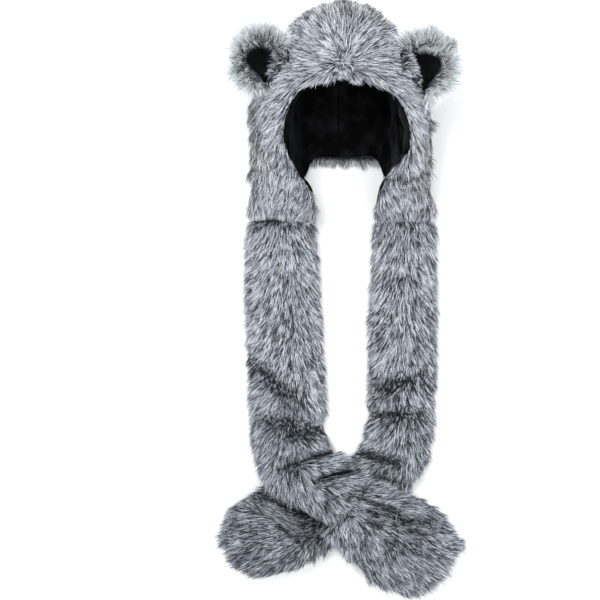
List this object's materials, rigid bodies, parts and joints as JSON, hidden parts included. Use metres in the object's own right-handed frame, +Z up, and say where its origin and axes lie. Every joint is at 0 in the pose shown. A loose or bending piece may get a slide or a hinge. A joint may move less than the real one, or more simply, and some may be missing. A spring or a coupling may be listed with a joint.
{
  "type": "animal hood scarf",
  "caption": "Long-haired plush animal hood with round ears, an open face and neck, and scarf strips that run down from the cheeks, cross and end in mitten paws.",
  "frame": {"origin": "middle of the object's box on the floor that it lies on", "axes": "+X to the right-hand side as seen from above, +Y from the paws to the crown, +Z up, out of the face opening"},
  "size_m": [0.378, 0.9508, 0.1657],
  "materials": {
    "hood_fur": "long-haired plush, silver grey with dark streaks",
    "scarf_fur": "long-haired plush, silver grey with dark streaks",
    "paw_fur": "long-haired plush, slate grey",
    "ear_fur": "long-haired plush, pale silver",
    "lining": "smooth black lining cloth"
  },
  "bodies": {
    "root": {"hood_fur": "hood_fur", "hood_lining": "lining", "left_ear_fur": "ear_fur", "right_ear_fur": "ear_fur", "left_ear_lining": "lining", "right_ear_lining": "lining", "left_scarf_fur": "scarf_fur", "right_scarf_fur": "scarf_fur", "left_paw_fur": "paw_fur", "right_paw_fur": "paw_fur"}
  },
  "joints": []
}
